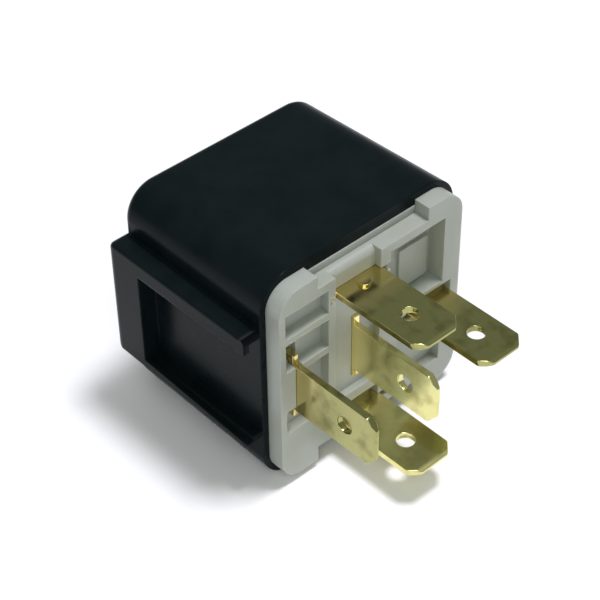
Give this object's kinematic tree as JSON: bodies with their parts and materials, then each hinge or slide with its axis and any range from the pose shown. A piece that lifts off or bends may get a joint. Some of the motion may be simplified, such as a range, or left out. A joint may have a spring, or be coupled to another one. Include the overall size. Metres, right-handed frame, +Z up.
{
  "type": "automotive relay",
  "caption": "Cube-shaped plug-in automotive relay with a black cover, a bracket channel on one side, an ivory base and brass blade terminals.",
  "frame": {"origin": "centre of the base's outer face, where the relay meets its socket", "axes": "+X along the blades, out of the base; +Z up as the relay lies on its side; -Y the side with the bracket channel"},
  "size_m": [0.0359, 0.0302, 0.0278],
  "materials": {
    "cover_plastic": "moulded black, slightly satin",
    "base_plastic": "natural ivory nylon, slightly translucent",
    "blade_brass": "bright stamped brass",
    "contact_metal": "silver alloy contact",
    "bobbin_plastic": "moulded",
    "copper_wire": "enamelled copper wire",
    "soft_iron": "nickel plated iron",
    "spring_metal": "spring copper alloy",
    "rivet_metal": "plain rivet"
  },
  "bodies": {
    "housing": {"cover": "cover_plastic", "base": "base_plastic", "top_coil_terminal": "blade_brass", "bottom_coil_terminal": "blade_brass", "common_terminal": "blade_brass", "open_terminal": "blade_brass", "closed_terminal": "blade_brass", "open_contact": "contact_metal", "closed_contact": "contact_metal", "bobbin": "bobbin_plastic", "coil_winding": "copper_wire", "core": "soft_iron", "yoke": "soft_iron", "hinge_spring": "spring_metal", "yoke_rivet_1": "rivet_metal", "yoke_rivet_2": "rivet_metal", "top_lead": "copper_wire", "bottom_lead": "copper_wire"},
    "armature_group": {"armature": "soft_iron", "contact_spring": "spring_metal", "moving_contact": "contact_metal", "armature_rivet_1": "rivet_metal", "armature_rivet_2": "rivet_metal"}
  },
  "joints": [
    {"name": "armature_hinge", "type": "hinge", "parent": "housing", "child": "armature_group", "pos_m": [-0.0196, 0.0096, -0.00045], "axis": [0, 0, 1], "range_deg": [0, 1.9], "stiffness_Nm_per_rad": 0.002, "springref_deg": -1.15}
  ]
}
